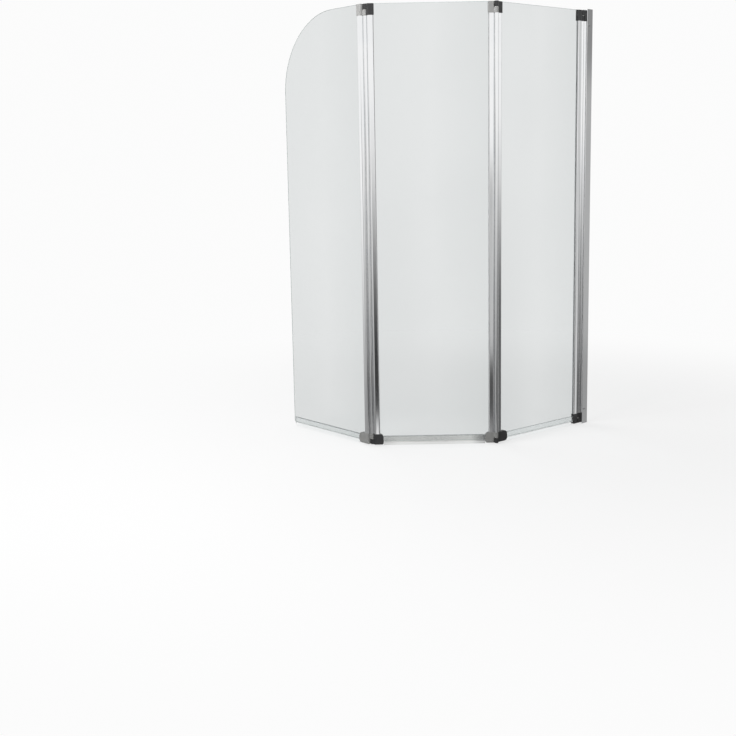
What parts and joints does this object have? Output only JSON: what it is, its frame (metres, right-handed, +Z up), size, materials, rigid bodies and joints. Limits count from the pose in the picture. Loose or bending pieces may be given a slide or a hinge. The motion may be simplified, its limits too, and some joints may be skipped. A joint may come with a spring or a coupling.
{
  "type": "folding bath screen",
  "caption": "Folding glass bath screen with polished hinge stiles, black and grey end caps, clear bottom seals and a wall profile, shown part folded.",
  "frame": {"origin": "bottom centre of the wall profile's back face, at the height of the bath rim", "axes": "+X into the wall, +Y over the bath, +Z up; the screen runs towards -X along the rim"},
  "size_m": [0.7598, 0.697, 1.4],
  "materials": {
    "polished_aluminium": "bright polished, like chrome",
    "rod_steel": "drawn stainless",
    "screw_steel": "bright stainless",
    "black_moulding": "satin moulded",
    "grey_moulding": "satin moulded",
    "white_nylon": "moulded nylon",
    "grey_rubber": "matt",
    "clear_seal": "clear flexible plastic",
    "clear_glass": "clear toughened, polished edges"
  },
  "bodies": {
    "wall_side": {"wall_profile": "polished_aluminium", "hinge_post": "polished_aluminium", "post_cap_top": "black_moulding", "post_cap_bottom": "black_moulding", "post_gaskets": "grey_rubber", "lock_screws": "screw_steel", "post_cap_screws": "screw_steel", "hinge_rod_1": "rod_steel", "rod_sleeve_1": "polished_aluminium"},
    "wall_panel": {"glass_1": "clear_glass", "stile_1_near": "polished_aluminium", "stile_1_far": "polished_aluminium", "cap_1_near_top": "black_moulding", "cap_1_near_bottom": "black_moulding", "cap_1_far_top": "black_moulding", "cap_1_far_bottom": "black_moulding", "glazing_gaskets_1": "grey_rubber", "bottom_seal_1": "clear_seal", "hinge_bushes_1": "white_nylon", "cap_screws_1": "screw_steel", "hinge_rod_2": "rod_steel", "rod_sleeve_2": "polished_aluminium"},
    "middle_panel": {"glass_2": "clear_glass", "stile_2_near": "polished_aluminium", "stile_2_far": "polished_aluminium", "cap_2_near_top": "grey_moulding", "cap_2_near_bottom": "grey_moulding", "cap_2_far_top": "black_moulding", "cap_2_far_bottom": "black_moulding", "glazing_gaskets_2": "grey_rubber", "bottom_seal_2": "clear_seal", "hinge_bushes_2": "white_nylon", "cap_screws_2": "screw_steel", "hinge_rod_3": "rod_steel", "rod_sleeve_3": "polished_aluminium"},
    "end_panel": {"glass_3": "clear_glass", "stile_3": "polished_aluminium", "cap_3_top": "grey_moulding", "cap_3_bottom": "grey_moulding", "glazing_gaskets_3": "grey_rubber", "bottom_seal_3": "clear_seal", "hinge_bushes_3": "white_nylon", "cap_screws_3": "screw_steel"}
  },
  "joints": [
    {"name": "wall_hinge", "type": "hinge", "parent": "wall_side", "child": "wall_panel", "pos_m": [-0.041, 0, 0.7], "axis": [0, 0, -1], "range_deg": [-93, 87]},
    {"name": "middle_hinge", "type": "hinge", "parent": "wall_panel", "child": "middle_panel", "pos_m": [-0.44084, 0.01345, 0.7], "axis": [0, 0, -1], "range_deg": [-211.6, 7.4]},
    {"name": "end_hinge", "type": "hinge", "parent": "middle_panel", "child": "end_panel", "pos_m": [-0.73707, 0.2871, 0.7], "axis": [0, 0, -1], "range_deg": [-47.8, 126.2]}
  ]
}
